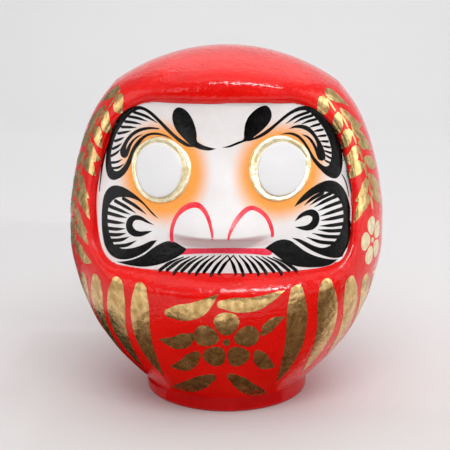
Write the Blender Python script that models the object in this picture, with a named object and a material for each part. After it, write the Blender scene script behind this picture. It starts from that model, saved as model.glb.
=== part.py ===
"""A daruma doll: a papier-mache body in two half shells, standing on a weighted ring foot.

The face looks along -Y, +Z is up, and the origin is the middle of the footprint.
Lengths are in millimetres, and make_solid turns them into metres.
"""

import math

import bmesh
import bpy
import numpy as np

MILLIMETRE = 0.001

# Driving dimensions
HEIGHT = 240.0
WALL = 3.0
GAP = 0.3

DOME_RADIUS = 131.0
DOME_CENTRE = HEIGHT - DOME_RADIUS

FOOT_RADIUS = 56.5
FOOT_HEIGHT = 10.0
FOOT_BORE = 44.0
FOOT_ROUNDING = 1.4
SHELL_BOTTOM = FOOT_HEIGHT + GAP
SHELL_BORE = 46.0

DISC_BOTTOM = 1.5
DISC_THICKNESS = 2.0
DISC_HOLE = 7.0
SEAL_RADIUS = 14.0
SEAL_THICKNESS = 0.5
WEIGHT_TOP = 19.0

STRIP_HALF_WIDTH = 12.0
STRIP_CLEARANCE = 2.3
STRIP_THICKNESS = 1.0
STRIP_BOTTOM = 24.0
STRIP_TOP = 196.0
CROWN_STRIP_HALF_SPAN = 57.0

# Body outline as (height, size): half-width, forward depth and rear depth.
# The dome above cuts off whatever of it would stand higher.
HALF_WIDTH = [
    (SHELL_BOTTOM, 56.8), (13, 59.5), (22, 68), (37, 80.7), (60, 94.3), (84, 102.5),
    (110, 107.3), (129, 107.1), (151, 104.3), (173, 99), (195, 90.5), (217, 74.5), (HEIGHT, 49.5),
]
FRONT_DEPTH = [
    (SHELL_BOTTOM, 56.8), (13, 59.5), (22, 68), (37, 80.1), (60, 92.6), (84, 99.6),
    (96, 100.6), (104, 99.3), (125, 93), (150, 85.5), (195, 70), (225, 57.5), (HEIGHT, 53),
]
REAR_DEPTH = [
    (SHELL_BOTTOM, 56.8), (13, 59.5), (22, 68), (37, 79.8), (60, 91), (84, 97.5),
    (110, 100.5), (129, 100.2), (151, 97.5), (173, 92.5), (195, 85), (217, 71), (HEIGHT, 47),
]
# Squareness of the horizontal sections: 2 is an ellipse, and more is squarer.
SQUARENESS = [(SHELL_BOTTOM, 2.0), (60, 2.05), (104, 2.15), (150, 2.2), (195, 2.3), (HEIGHT, 2.6)]

# The sunken face: depth of its panel, and how round the panel is from side to side.
PANEL_DEPTH = [
    (100, 88), (110, 85.5), (120, 83), (130, 80.5), (140, 77), (150, 73), (160, 69),
    (172, 64), (182, 60.2), (197, 57), (210, 55.8), (229, 56),
]
PANEL_RADIUS = 142.0

# The wall round the face runs from a ridge to a foot line. Each is a rounded window.
RIDGE_SIDE = [(105, 89), (125, 90.5), (145, 90.5), (165, 89.5), (185, 87), (200, 83.5), (212, 77), (228, 63)]
RIDGE_TOP, RIDGE_BOTTOM = 228.0, 93.5
RIDGE_TOP_CORNER, RIDGE_BOTTOM_CORNER = 5.0, 31.0
LIP_ROUNDNESS = 0.985
FOOT_LINE_SIDE = [(110, 82), (130, 83.5), (148, 83.5), (168, 79.5), (182, 77), (200, 74)]
FOOT_LINE_TOP, FOOT_LINE_BOTTOM = 210.0, 106.5
FOOT_LINE_TOP_CORNER, FOOT_LINE_BOTTOM_CORNER = 34.0, 17.0

NOSE_HEIGHT = [(131.5, 12.5), (136, 12), (146, 8.5), (160, 4.5), (176, 1.5), (190, 0)]
NOSE_HALF_WIDTH = [(120, 36), (133, 35), (142, 31), (152, 22), (165, 15), (180, 14), (195, 16)]
NOSE_UNDERSIDE = (126.5, 131.5)

EYE_X, EYE_Z = 39.2, 168.3
EYE_NARROWING = (0.925, 0.97)
EYE_RADIUS, EYE_SHOULDER, EYE_RISE, EYE_CROWN = 17.0, 2.5, 2.6, 1.8

# Where the outer meshes of the shells have their rows and columns, as (place, steps to the next
# place): heights, closest at the ledge, nose, eyes and brow, and turns from straight ahead in
# degrees, closest at the eyes and the ridge. The lining has half as many of each.
FRONT_ROWS = [
    (SHELL_BOTTOM, 4), (37, 5), (90, 8), (107, 3), (127, 3), (135, 3), (150, 9), (187, 3), (210, 6), (231, 0),
]
FRONT_TURNS = [(0, 3), (12, 8), (38, 2), (48, 6), (64, 5), (90, 0)]
REAR_ROWS = [(SHELL_BOTTOM, 3), (37, 7), (110, 10), (226, 0)]
REAR_TURNS = [(0, 12), (90, 0)]
DOME_ROWS = 5
LINING_STEP = 2


def through(knots, at):
    """A smooth curve through the knots, which never swings past them."""
    places, values = np.array(sorted(knots), float).T
    step = np.diff(places)
    slope = np.diff(values) / step
    product = slope[:-1] * slope[1:]
    total = np.where(product > 0, slope[:-1] + slope[1:], 1.0)
    inner = np.where(product > 0, 2 * product / total, 0.0)
    tangent = np.concatenate([slope[:1], inner, slope[-1:]])
    at = np.clip(at, places[0], places[-1])
    i = np.clip(np.searchsorted(places, at) - 1, 0, len(step) - 1)
    t = (at - places[i]) / step[i]
    return (
        (1 + 2 * t) * (1 - t) ** 2 * values[i]
        + t * (1 - t) ** 2 * step[i] * tangent[i]
        + t * t * (3 - 2 * t) * values[i + 1]
        + t * t * (t - 1) * step[i] * tangent[i + 1]
    )


def ease(start, end, value):
    t = np.clip((value - start) / (end - start), 0, 1)
    return t * t * (3 - 2 * t)


def lower_of(a, b, rounding):
    """The smaller of two depths, with the edge between them rounded."""
    h = np.clip(0.5 + 0.5 * (b - a) / np.maximum(rounding, 1e-6), 0, 1)
    return b * (1 - h) + a * h - rounding * h * (1 - h)


def dome_depth(x, z, inset):
    return np.sqrt(np.maximum((DOME_RADIUS - inset) ** 2 - x * x - (z - DOME_CENTRE) ** 2, 0))


def half_width(z, inset=0.0):
    return np.minimum(through(HALF_WIDTH, z) - inset, dome_depth(0.0, z, inset))


def body_depth(x, z, depths, edge, inset=0.0):
    """Depth of the body with no face in it. edge is the rounding where the dome begins."""
    across = np.clip(np.abs(x) / (through(HALF_WIDTH, z) - inset), 0, 1)
    power = through(SQUARENESS, z)
    body = (through(depths, z) - inset) * (1 - across**power) ** (1 / power)
    dome = dome_depth(x, z, inset)
    rounding = edge * np.clip(np.minimum(body, dome) / 12, 0, 1)
    return np.maximum(lower_of(body, dome, rounding), 0)


def window(x, z, side, top, bottom, top_corner, bottom_corner, grow):
    """Distance inside a rounded window, negative outside it."""

    def corner(a, b, radius):
        rounded = radius - np.hypot(np.maximum(radius - a, 0), np.maximum(radius - b, 0))
        return np.where((a < radius) & (b < radius), rounded, np.minimum(a, b))

    from_side = through(side, z) + grow - np.abs(x)
    upper = corner(from_side, top + grow - z, top_corner)
    return np.minimum(upper, corner(from_side, z - bottom + grow, bottom_corner))


def sunkenness(x, z, grow):
    """0 outside the ridge, 1 inside the foot line, and a rounded lip between them."""
    ridge = window(
        x, z, RIDGE_SIDE, RIDGE_TOP, RIDGE_BOTTOM, RIDGE_TOP_CORNER, RIDGE_BOTTOM_CORNER, grow
    )
    foot = window(
        x, z, FOOT_LINE_SIDE, FOOT_LINE_TOP, FOOT_LINE_BOTTOM,
        FOOT_LINE_TOP_CORNER, FOOT_LINE_BOTTOM_CORNER, grow,
    )
    from_ridge = np.maximum(ridge, 0)
    share = from_ridge / np.maximum(from_ridge - np.minimum(foot, 0), 1e-6)
    lip = 1 - np.sqrt(1 - (LIP_ROUNDNESS * share) ** 2)
    return lip / (1 - math.sqrt(1 - LIP_ROUNDNESS**2))


def nose(x, z):
    height = through(NOSE_HEIGHT, z) * ease(*NOSE_UNDERSIDE, z)
    across = np.clip(np.abs(x) / through(NOSE_HALF_WIDTH, z), 0, 1)
    return height * (1 - across**2.6) ** 1.6


def eye(x, z):
    """A low domed boss for each eye."""
    radius = np.hypot((np.abs(x) - EYE_X) / EYE_NARROWING[0], (z - EYE_Z) / EYE_NARROWING[1])
    crown = EYE_CROWN * (1 - np.clip(radius / EYE_RADIUS, 0, 1) ** 2)
    return (EYE_RISE + crown) * ease(EYE_RADIUS + EYE_SHOULDER, EYE_RADIUS - EYE_SHOULDER, radius)


def front_depth(x, z, inset=0.0):
    """Depth of the front half. The lining, which has an inset, has no nose or eyes."""
    outside = body_depth(x, z, FRONT_DEPTH, 8.0, inset)
    roundness = PANEL_RADIUS - np.sqrt(PANEL_RADIUS**2 - np.minimum(np.abs(x), 110.0) ** 2)
    panel = through(PANEL_DEPTH, z) - roundness - inset
    if inset == 0.0:
        panel = panel + nose(x, z) + eye(x, z)
    depth = outside - (outside - panel) * sunkenness(x, z, 0.8 * inset)
    return np.maximum(depth, 0)


def rear_depth(x, z, inset=0.0):
    return body_depth(x, z, REAR_DEPTH, 9.0, inset)


def spaced(plan):
    """Even steps between the places of a plan, without its last place."""
    return np.concatenate(
        [np.linspace(low, high, steps, endpoint=False) for (low, steps), (high, _) in zip(plan[:-1], plan[1:])]
    )


def shell_surface(depth, towards, rows, turns, inset):
    """Grid of points on one face of a half shell, from the rim of its bottom hole to the crown."""
    tilt = math.acos((rows[-1][0] - DOME_CENTRE) / DOME_RADIUS)
    dome = DOME_CENTRE + DOME_RADIUS * np.cos(np.linspace(tilt, 0, DOME_ROWS + 1))
    bottom, top = SHELL_BOTTOM + inset, HEIGHT - inset
    share = (np.concatenate([spaced(rows), dome]) - SHELL_BOTTOM) / (HEIGHT - SHELL_BOTTOM)
    one_side = np.append(spaced(turns), turns[-1][0])
    angle = np.radians(np.concatenate([-one_side[:0:-1], one_side]))
    z, turn = np.meshgrid(bottom + share * (top - bottom), angle, indexing="ij")
    x = half_width(z, inset) * np.sin(turn)
    y = depth(x, z, inset)
    y[:, [0, -1]] = 0.0
    points = np.stack([x, towards * (y + GAP / 2), z], axis=-1)
    rim = [
        (SHELL_BORE * math.sin(a), towards * (SHELL_BORE * math.cos(a) + GAP / 2), bottom) for a in angle
    ]
    return np.concatenate([[rim], points])


def side_strip_surface(side, inset):
    """Grid of points on one face of the strip over a side joint."""
    heights = np.linspace(STRIP_BOTTOM, STRIP_TOP, 19)
    across = np.linspace(-1, 1, 5) * STRIP_HALF_WIDTH
    z, y = np.meshgrid(heights, across, indexing="ij")
    depths = np.where(y < 0, through(FRONT_DEPTH, z), through(REAR_DEPTH, z)) - inset
    power = through(SQUARENESS, z)
    x = (through(HALF_WIDTH, z) - inset) * (1 - (np.abs(y) / depths) ** power) ** (1 / power)
    return np.stack([side * x, y, z], axis=-1)


def crown_strip_surface(inset):
    """Grid of points on one face of the strip over the crown joint."""
    along = np.linspace(-1, 1, 13) * CROWN_STRIP_HALF_SPAN
    across = np.linspace(-1, 1, 5) * STRIP_HALF_WIDTH
    x, y = np.meshgrid(along, across, indexing="ij")
    z = DOME_CENTRE + np.sqrt((DOME_RADIUS - inset) ** 2 - x * x - y * y)
    return np.stack([x, y, z], axis=-1)


def paint(name, color, roughness, metallic=0.0):
    material = bpy.data.materials.new(name)
    material.use_nodes = True
    shader = material.node_tree.nodes["Principled BSDF"]
    shader.inputs["Base Color"].default_value = (*color, 1.0)
    shader.inputs["Roughness"].default_value = roughness
    shader.inputs["Metallic"].default_value = metallic
    return material


def make_solid(name, points, faces, material):
    """One closed object. Points that coincide are merged, as at the crown or on an axis."""
    mesh = bpy.data.meshes.new(name)
    mesh.from_pydata([tuple(MILLIMETRE * value for value in point) for point in points], [], faces)
    shape = bmesh.new()
    shape.from_mesh(mesh)
    bmesh.ops.remove_doubles(shape, verts=shape.verts, dist=0.01 * MILLIMETRE)
    bmesh.ops.dissolve_degenerate(shape, edges=shape.edges, dist=0.001 * MILLIMETRE)
    bmesh.ops.recalc_face_normals(shape, faces=shape.faces)
    shape.to_mesh(mesh)
    shape.free()
    mesh.materials.append(material)
    mesh.shade_smooth()
    mesh.set_sharp_from_angle(angle=math.radians(35))
    solid = bpy.data.objects.new(name, mesh)
    bpy.context.scene.collection.objects.link(solid)
    return solid


def make_slab(name, outer, inner, material):
    """A solid between two grids of points, closed along all four borders.

    The inner grid has as many rows and columns as the outer, or a whole fraction of them.
    """

    def quads(rows, columns, start):
        for r in range(rows - 1):
            for c in range(columns - 1):
                corner = start + r * columns + c
                yield corner, corner + 1, corner + columns + 1, corner + columns

    def borders(rows, columns, start):
        last_row, last_column = (rows - 1) * columns, columns - 1
        yield [start + c for c in range(columns)]
        yield [start + last_row + c for c in range(columns)]
        yield [start + r * columns for r in range(rows)]
        yield [start + r * columns + last_column for r in range(rows)]

    outer_size = (*outer.shape[:2], 0)
    inner_size = (*inner.shape[:2], outer.shape[0] * outer.shape[1])
    faces = list(quads(*outer_size)) + list(quads(*inner_size))
    for outer_border, inner_border in zip(borders(*outer_size), borders(*inner_size)):
        step = (len(outer_border) - 1) // (len(inner_border) - 1)
        for k in range(len(inner_border) - 1):
            near = outer_border[k * step : (k + 1) * step + 1]
            faces.append((*near, inner_border[k + 1], inner_border[k]))
    points = np.concatenate([outer.reshape(-1, 3), inner.reshape(-1, 3)])
    return make_solid(name, points.tolist(), faces, material)


def make_turned(name, profile, segments, material):
    """A solid turned about the Z axis from a closed profile of (radius, height) points."""
    points = []
    for step in range(segments):
        angle = 2 * math.pi * step / segments
        points.extend((r * math.cos(angle), r * math.sin(angle), z) for r, z in profile)
    count = len(profile)
    faces = []
    for step in range(segments):
        here, there = step * count, (step + 1) % segments * count
        for a in range(count):
            b = (a + 1) % count
            if profile[a][0] > 0 or profile[b][0] > 0:
                faces.append((here + a, there + a, there + b, here + b))
    return make_solid(name, points, faces, material)


def make_shells(material):
    halves = [
        ("front_shell", front_depth, -1, FRONT_ROWS, FRONT_TURNS),
        ("back_shell", rear_depth, 1, REAR_ROWS, REAR_TURNS),
    ]
    for name, depth, towards, rows, turns in halves:
        outer = shell_surface(depth, towards, rows, turns, 0.0)
        lining = shell_surface(depth, towards, rows, turns, WALL)[::LINING_STEP, ::LINING_STEP]
        make_slab(name, outer, lining, material)


def make_seam_strips(material):
    outside = WALL + STRIP_CLEARANCE
    inside = outside + STRIP_THICKNESS
    for name, side in (("seam_strip_left", -1), ("seam_strip_right", 1)):
        make_slab(name, side_strip_surface(side, outside), side_strip_surface(side, inside), material)
    make_slab("seam_strip_crown", crown_strip_surface(outside), crown_strip_surface(inside), material)


def make_foot(lacquer, clay, board, paper):
    edge = FOOT_RADIUS - FOOT_ROUNDING
    ring = [
        (FOOT_BORE, 0), (edge, 0), (FOOT_RADIUS - 0.4, 0.4), (FOOT_RADIUS, FOOT_ROUNDING),
        (FOOT_RADIUS, FOOT_HEIGHT), (FOOT_BORE, FOOT_HEIGHT),
    ]
    make_turned("foot_ring", ring, 64, lacquer)

    radius = FOOT_BORE - GAP
    disc_top = DISC_BOTTOM + DISC_THICKNESS
    disc = [(DISC_HOLE, DISC_BOTTOM), (radius, DISC_BOTTOM), (radius, disc_top), (DISC_HOLE, disc_top)]
    make_turned("base_disc", disc, 40, board)

    seal_top = DISC_BOTTOM - GAP
    seal_bottom = seal_top - SEAL_THICKNESS
    seal = [(0, seal_bottom), (SEAL_RADIUS, seal_bottom), (SEAL_RADIUS, seal_top), (0, seal_top)]
    make_turned("hole_seal", seal, 24, paper)

    bottom = disc_top + GAP
    weight = [
        (0, bottom), (radius, bottom), (radius, WEIGHT_TOP - 8), (0.92 * radius, WEIGHT_TOP - 4),
        (0.7 * radius, WEIGHT_TOP - 1.5), (0.4 * radius, WEIGHT_TOP - 0.3), (0, WEIGHT_TOP),
    ]
    make_turned("clay_weight", weight, 40, clay)


def main():
    for old in list(bpy.data.objects):
        bpy.data.objects.remove(old, do_unlink=True)
    lacquer = paint("red_lacquer", (0.62, 0.008, 0.006), 0.25)
    clay = paint("dried_clay", (0.32, 0.24, 0.17), 0.9)
    board = paint("paperboard", (0.45, 0.36, 0.25), 0.85)
    paper = paint("plain_paper", (0.78, 0.74, 0.66), 0.8)
    make_shells(lacquer)
    make_seam_strips(paper)
    make_foot(lacquer, clay, board, paper)


main()
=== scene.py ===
"""The looks of the daruma doll: its lacquered paper body, its painted face and its gold brushwork.

Lengths are in millimetres until a mesh is made, and the stage is in metres. Two flat sheets are
used to draw on: the face, as (x, height), and the whole body, as (distance round a 100 mm girth,
height). Both start from the middle of the front, to the viewer's right.
"""

import math

import bmesh
import bpy
import numpy as np
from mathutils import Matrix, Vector
from mathutils.geometry import delaunay_2d_cdt


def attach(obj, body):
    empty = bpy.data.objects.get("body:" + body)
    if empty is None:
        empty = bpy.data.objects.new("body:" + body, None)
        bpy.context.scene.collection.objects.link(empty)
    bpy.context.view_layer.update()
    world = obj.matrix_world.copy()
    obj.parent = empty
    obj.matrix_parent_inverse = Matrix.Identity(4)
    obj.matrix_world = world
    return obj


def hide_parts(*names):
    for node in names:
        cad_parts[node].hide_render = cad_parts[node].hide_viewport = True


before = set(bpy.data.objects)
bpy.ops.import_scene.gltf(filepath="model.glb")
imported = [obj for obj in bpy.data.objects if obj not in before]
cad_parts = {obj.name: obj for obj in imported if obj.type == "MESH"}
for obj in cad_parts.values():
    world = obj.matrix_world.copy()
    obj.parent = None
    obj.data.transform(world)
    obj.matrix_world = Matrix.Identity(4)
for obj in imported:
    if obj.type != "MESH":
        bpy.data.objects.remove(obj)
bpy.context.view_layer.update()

MILLIMETRE = 0.001

# ---------------- the body's shape

HEIGHT = 240.0
WALL = 3.0
GAP = 0.04
DOME_RADIUS = 131.0
DOME_CENTRE = HEIGHT - DOME_RADIUS
FOOT_RADIUS = 56.5
FOOT_HEIGHT = 10.0
FOOT_EDGE = 1.6
FOOT_FULLNESS = 0.15
FOOT_BORE = 44.0
SHELL_BOTTOM = FOOT_HEIGHT + GAP
SHELL_BORE = 46.0
GIRTH_RADIUS = 100.0
FRONT_ROUNDING, REAR_ROUNDING = 8.0, 9.0
ROUNDED_FROM = 12.0
UNEVEN_FROM = 25.0
SHORTEST = 1e-6

LOWEST = [(SHELL_BOTTOM, 56.8), (13, 59.5), (22, 68)]
HALF_WIDTH = LOWEST + [
    (37, 80.7), (60, 94.3), (84, 102.5), (110, 107.3), (129, 107.1), (151, 104.3), (173, 99),
    (195, 90.5), (217, 74.5), (HEIGHT, 49.5),
]
FRONT_DEPTH = LOWEST + [
    (37, 80.1), (60, 92.6), (84, 99.6), (96, 100.6), (104, 99.3), (125, 93), (150, 85.5),
    (195, 70), (225, 57.5), (HEIGHT, 53),
]
REAR_DEPTH = LOWEST + [
    (37, 79.8), (60, 91), (84, 97.5), (110, 100.5), (129, 100.2), (151, 97.5), (173, 92.5),
    (195, 85), (217, 71), (HEIGHT, 47),
]
SQUARENESS = [(SHELL_BOTTOM, 2.0), (60, 2.05), (104, 2.15), (150, 2.2), (195, 2.3), (HEIGHT, 2.6)]

PANEL_DEPTH = [
    (100, 88), (110, 85.5), (120, 83), (130, 80.5), (140, 77), (150, 73), (160, 69),
    (172, 64), (182, 60.2), (197, 57), (210, 55.8), (229, 56),
]
PANEL_RADIUS = 142.0
PANEL_REACH = 110.0

RIDGE = {
    "side": [(105, 89), (125, 90.5), (145, 90.5), (165, 89.5), (185, 87), (200, 83.5), (212, 77), (228, 63)],
    "top": 228.0, "bottom": 93.5, "top_corner": 5.0, "bottom_corner": 31.0,
}
FOOT_LINE = {
    "side": [(110, 82), (130, 83.5), (148, 83.5), (168, 79.5), (182, 77), (200, 74)],
    "top": 210.0, "bottom": 106.5, "top_corner": 34.0, "bottom_corner": 17.0,
}
LIP_ROUNDNESS = 0.985

NOSE_HEIGHT = [(131.5, 12.5), (136, 12), (146, 8.5), (160, 4.5), (176, 1.5), (190, 0)]
NOSE_HALF_WIDTH = [(120, 36), (133, 35), (142, 31), (152, 22), (165, 15), (180, 14), (195, 16)]
NOSE_UNDERSIDE = (126.5, 131.5)


def cubic(t, start, leave, end, arrive):
    """A smooth step from start to end, as t goes from 0 to 1. leave and arrive are its slopes."""
    early, late = (1 - t) ** 2, t * t
    from_start = (1 + 2 * t) * early * start + t * early * leave
    return from_start + late * (3 - 2 * t) * end + late * (t - 1) * arrive


def through(knots, at):
    """A smooth curve through the knots, which never swings past them."""
    places, values = np.array(sorted(knots), float).T
    step = np.diff(places)
    slope = np.diff(values) / step
    product = slope[:-1] * slope[1:]
    total = np.where(product > 0, slope[:-1] + slope[1:], 1.0)
    inner = np.where(product > 0, 2 * product / total, 0.0)
    tangent = np.concatenate([slope[:1], inner, slope[-1:]])
    at = np.clip(at, places[0], places[-1])
    i = np.clip(np.searchsorted(places, at) - 1, 0, len(step) - 1)
    t = (at - places[i]) / step[i]
    return cubic(t, values[i], step[i] * tangent[i], values[i + 1], step[i] * tangent[i + 1])


def ease(start, end, value):
    t = np.clip((value - start) / (end - start), 0, 1)
    return t * t * (3 - 2 * t)


def lower_of(a, b, rounding):
    """The smaller of two depths, with the edge between them rounded."""
    h = np.clip(0.5 + 0.5 * (b - a) / np.maximum(rounding, SHORTEST), 0, 1)
    return b * (1 - h) + a * h - rounding * h * (1 - h)


def dome_depth(x, z, inset):
    return np.sqrt(np.maximum((DOME_RADIUS - inset) ** 2 - x * x - (z - DOME_CENTRE) ** 2, 0))


def half_width(z, inset=0.0):
    return np.minimum(through(HALF_WIDTH, z) - inset, dome_depth(0.0, z, inset))


def body_depth(x, z, depths, rounding, inset=0.0):
    """Depth of the body with no face in it, rounded where the dome begins."""
    across = np.clip(np.abs(x) / (through(HALF_WIDTH, z) - inset), 0, 1)
    power = through(SQUARENESS, z)
    body = (through(depths, z) - inset) * (1 - across**power) ** (1 / power)
    dome = dome_depth(x, z, inset)
    thinning = np.clip(np.minimum(body, dome) / ROUNDED_FROM, 0, 1)
    return np.maximum(lower_of(body, dome, rounding * thinning), 0)


def window(x, z, side, top, bottom, top_corner, bottom_corner, grow=0.0):
    """Distance inside a rounded window, negative outside it."""

    def corner(a, b, radius):
        rounded = radius - np.hypot(np.maximum(radius - a, 0), np.maximum(radius - b, 0))
        return np.where((a < radius) & (b < radius), rounded, np.minimum(a, b))

    from_side = through(side, z) + grow - np.abs(x)
    upper = corner(from_side, top + grow - z, top_corner)
    return np.minimum(upper, corner(from_side, z - bottom + grow, bottom_corner))


def sunkenness(x, z, grow):
    """0 outside the ridge, 1 inside the foot line, and a rounded lip between them."""
    from_ridge = np.maximum(window(x, z, **RIDGE, grow=grow), 0)
    to_foot = np.minimum(window(x, z, **FOOT_LINE, grow=grow), 0)
    share = from_ridge / np.maximum(from_ridge - to_foot, SHORTEST)
    lip = 1 - np.sqrt(1 - (LIP_ROUNDNESS * share) ** 2)
    return lip / (1 - math.sqrt(1 - LIP_ROUNDNESS**2))


def nose(x, z):
    height = through(NOSE_HEIGHT, z) * ease(*NOSE_UNDERSIDE, z)
    across = np.clip(np.abs(x) / through(NOSE_HALF_WIDTH, z), 0, 1)
    return height * (1 - across**2.6) ** 1.6


def hand_made(x, z):
    """The slight unevenness of a hand-laid paper shell, which fades towards the seam."""
    slow = np.sin(x / 19 + 0.8) * np.sin(z / 15 + 1.1)
    quick = np.sin(x / 8.1 - z / 10.7) + np.sin(x / 6.3 + z / 8.9 + 2.0)
    return 0.16 * slow + 0.05 * quick


def front_depth(x, z, inset=0.0):
    outside = body_depth(x, z, FRONT_DEPTH, FRONT_ROUNDING, inset)
    roundness = PANEL_RADIUS - np.sqrt(PANEL_RADIUS**2 - np.minimum(np.abs(x), PANEL_REACH) ** 2)
    panel = through(PANEL_DEPTH, z) - roundness - inset
    if inset == 0.0:
        panel = panel + nose(x, z)
        outside = outside + hand_made(x, z) * ease(0, UNEVEN_FROM, outside)
    depth = outside - (outside - panel) * sunkenness(x, z, 0.8 * inset)
    return np.maximum(depth, 0)


def rear_depth(x, z, inset=0.0):
    depth = body_depth(x, z, REAR_DEPTH, REAR_ROUNDING, inset)
    return depth + hand_made(x + 31, z) * ease(0, UNEVEN_FROM, depth)


def on_face(across, height):
    """Points of the face for places on its flat sheet."""
    return np.stack([across, -front_depth(across, height), height], axis=-1)


def on_body(around, height):
    """Points of the body, front or back, for places on its flat sheet."""
    turn = around / GIRTH_RADIUS
    x = half_width(height) * np.sin(turn)
    y = np.where(np.cos(turn) > 0, -front_depth(x, height) - GAP / 2, rear_depth(x, height) + GAP / 2)
    return np.stack([x, y, height], axis=-1)


# ---------------- meshes


def new_object(name, points, faces, material):
    """One object, from points in metres."""
    mesh = bpy.data.meshes.new(name)
    mesh.from_pydata(points, [], faces)
    mesh.materials.append(material)
    mesh.shade_smooth()
    made = bpy.data.objects.new(name, mesh)
    bpy.context.scene.collection.objects.link(made)
    return made


def make_piece(name, points, faces, material, sharp=35.0):
    """One object that rides on the doll, from points in millimetres."""
    piece = new_object(name, (np.asarray(points, float) * MILLIMETRE).tolist(), faces, material)
    piece.data.set_sharp_from_angle(angle=math.radians(sharp))
    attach(piece, "root")
    return piece


def make_solid(name, points, faces, material):
    """A closed piece. Points that coincide are merged, and every face is turned outwards."""
    piece = make_piece(name, points, faces, material)
    solid = bmesh.new()
    solid.from_mesh(piece.data)
    bmesh.ops.remove_doubles(solid, verts=solid.verts, dist=0.01 * MILLIMETRE)
    bmesh.ops.dissolve_degenerate(solid, edges=solid.edges, dist=0.001 * MILLIMETRE)
    bmesh.ops.recalc_face_normals(solid, faces=solid.faces)
    solid.to_mesh(piece.data)
    solid.free()
    return piece


def grid_faces(rows, columns, start=0, round_rows=False, round_columns=False):
    """Faces of a grid of points. Either way, the last points may join the first."""
    r, c = np.meshgrid(
        np.arange(rows - 1 + round_rows), np.arange(columns - 1 + round_columns), indexing="ij"
    )
    here, there = start + r * columns, start + (r + 1) % rows * columns
    beside = (c + 1) % columns
    corners = np.stack([here + c, here + beside, there + beside, there + c], axis=-1)
    return corners.reshape(-1, 4).tolist()


def smooth_run(points, closed=False, spacing=0.7):
    """Close-set points along a smooth curve through the given ones, without the last of them."""
    p = np.array(points, float)
    if closed:
        p = np.concatenate([p[-1:], p, p[:2]])
    else:
        p = np.concatenate([[2 * p[0] - p[1]], p, [2 * p[-1] - p[-2]]])
    run = []
    for a, b, c, d in zip(p[:-3], p[1:-2], p[2:-1], p[3:]):
        before, here, after = (math.sqrt(math.dist(*ends)) for ends in ((a, b), (b, c), (c, d)))
        leave = here * ((b - a) / before - (c - a) / (before + here)) + (c - b)
        arrive = here * ((d - c) / after - (d - b) / (here + after)) + (c - b)
        steps = max(2, math.ceil(math.dist(b, c) / spacing))
        t = (np.arange(steps) / steps)[:, None]
        run.append(cubic(t, b, leave, c, arrive))
    return np.concatenate(run)


def loop(*points):
    """A smooth closed outline."""
    return smooth_run(points, closed=True)


def shape(*runs):
    """A closed outline of smooth runs, with a corner where one ends and the next begins."""
    closing = runs[1:] + runs[:1]
    return np.concatenate([smooth_run(list(run) + [after[0]]) for run, after in zip(runs, closing)])


def brush(points, widths):
    """The outline of a brush stroke along a smooth line. widths are at even steps along it."""
    line = np.concatenate([smooth_run(points), [points[-1]]])
    along = np.concatenate([[0], np.cumsum(np.hypot(*np.diff(line, axis=0).T))])
    knots = list(zip(np.linspace(0, 1, len(widths)), widths))
    half = through(knots, along / along[-1])[:, None] / 2
    heading = np.gradient(line, axis=0)
    heading /= np.hypot(*heading.T)[:, None]
    side = np.stack([-heading[:, 1], heading[:, 0]], axis=-1)

    def cap(centre, radius, start):
        angles = start - np.pi * np.arange(1, 6) / 6
        return centre + radius * np.stack([np.cos(angles), np.sin(angles)], axis=-1)

    ahead = math.atan2(heading[-1][1], heading[-1][0])
    behind = math.atan2(heading[0][1], heading[0][0])
    return np.concatenate([
        line + half * side,
        cap(line[-1], half[-1], ahead + np.pi / 2),
        (line - half * side)[::-1],
        cap(line[0], half[0], behind - np.pi / 2),
    ])


def is_inside(outline, places):
    """Whether each place is inside the closed outline."""
    ax, ay = outline.T
    bx, by = np.roll(outline, -1, axis=0).T
    x, y = places[:, :1], places[:, 1:]
    crosses = (ay > y) != (by > y)
    rise = np.where(by == ay, 1e-9, by - ay)
    return (crosses & (x < ax + (y - ay) / rise * (bx - ax))).sum(axis=1) % 2 == 1


def nearest(places, others):
    """Distance from each place to the nearest of the others, found a batch at a time."""
    batches = max(1, len(places) // 2000)
    return np.concatenate([
        np.hypot(*(part[:, None] - others[None]).transpose(2, 0, 1)).min(axis=1)
        for part in np.array_split(places, batches)
    ])


def rim_edges(faces):
    """The sides that only one triangle has."""
    sides = np.concatenate([faces[:, [0, 1]], faces[:, [1, 2]], faces[:, [2, 0]]])
    keys = sides.min(axis=1) * (faces.max() + 1) + sides.max(axis=1)
    _, where, count = np.unique(keys, return_inverse=True, return_counts=True)
    return sides[count[where.reshape(-1)] == 1]


def triangles(places, edges, covered):
    """Points and triangles of the covered part of a sheet, with the given edges in it."""
    same_place = 1e-4
    found = delaunay_2d_cdt([Vector(place) for place in places], edges, [], 1, same_place, False)
    flat = np.array([tuple(place) for place in found[0]])
    faces = np.array([face for face in found[2] if len(face) == 3])
    faces = faces[covered(flat[faces].mean(axis=1))]
    used, faces = np.unique(faces, return_inverse=True)
    return flat[used], faces.reshape(-1, 3)


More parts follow.
